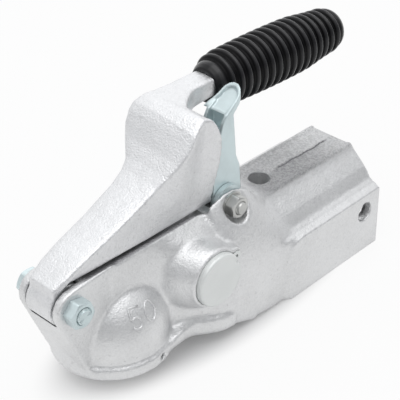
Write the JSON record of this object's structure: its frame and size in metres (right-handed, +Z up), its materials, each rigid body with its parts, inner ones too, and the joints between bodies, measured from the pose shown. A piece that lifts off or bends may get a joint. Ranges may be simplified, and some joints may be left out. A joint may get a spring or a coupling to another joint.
{
  "type": "trailer coupling head",
  "caption": "Cast ball coupling head for a trailer drawbar, with a hooded hand lever, an offset ribbed grip, a safety latch and a hidden ball keeper.",
  "frame": {"origin": "centre of the towing ball in the socket", "axes": "+X to the rear, towards the drawbar; +Y across, to the far side, along the pivots; +Z up"},
  "size_m": [0.2755, 0.087, 0.1568],
  "materials": {
    "cast": "hot-dip galvanised, fine cast grain",
    "rubber": "satin black",
    "zinc": "blue zinc plated",
    "bolt": "zinc plated, slightly yellow",
    "steel": "bare steel, oiled"
  },
  "bodies": {
    "head": {"body_casting": "cast", "front_pivot_bolt": "bolt", "front_pivot_nut": "zinc", "latch_bolt": "bolt", "latch_nut": "bolt", "latch_washer": "bolt", "latch_sleeve": "steel", "latch_spacer_near": "zinc", "latch_spacer_far": "zinc", "latch_spring": "steel", "cross_pin": "zinc", "roll_pin_near": "steel", "roll_pin_far": "steel", "keeper_spring": "steel", "spring_seat": "steel"},
    "lever": {"lever_casting": "cast", "rubber_grip": "rubber", "lever_bush": "steel", "lever_wedge": "steel", "wedge_screws": "steel"},
    "latch": {"safety_latch": "zinc"},
    "keeper": {"ball_keeper": "steel", "keeper_pad": "steel"}
  },
  "joints": [
    {"name": "lever_lift", "type": "hinge", "parent": "head", "child": "lever", "pos_m": [-0.0405, 0, 0.0396], "axis": [0, -1, 0], "range_deg": [0, 55]},
    {"name": "keeper_swing", "type": "hinge", "parent": "head", "child": "keeper", "pos_m": [0.05, 0, 0.023], "axis": [0, -1, 0], "range_deg": [0, 11]},
    {"name": "latch_swing", "type": "hinge", "parent": "head", "child": "latch", "pos_m": [0.084, 0, 0.0505], "axis": [0, 1, 0], "range_deg": [-1.5, 10], "stiffness_Nm_per_rad": 0.8}
  ],
  "couplings": [
    {"joint": "keeper_swing", "follows": "lever_lift", "ratio": 0.2}
  ]
}
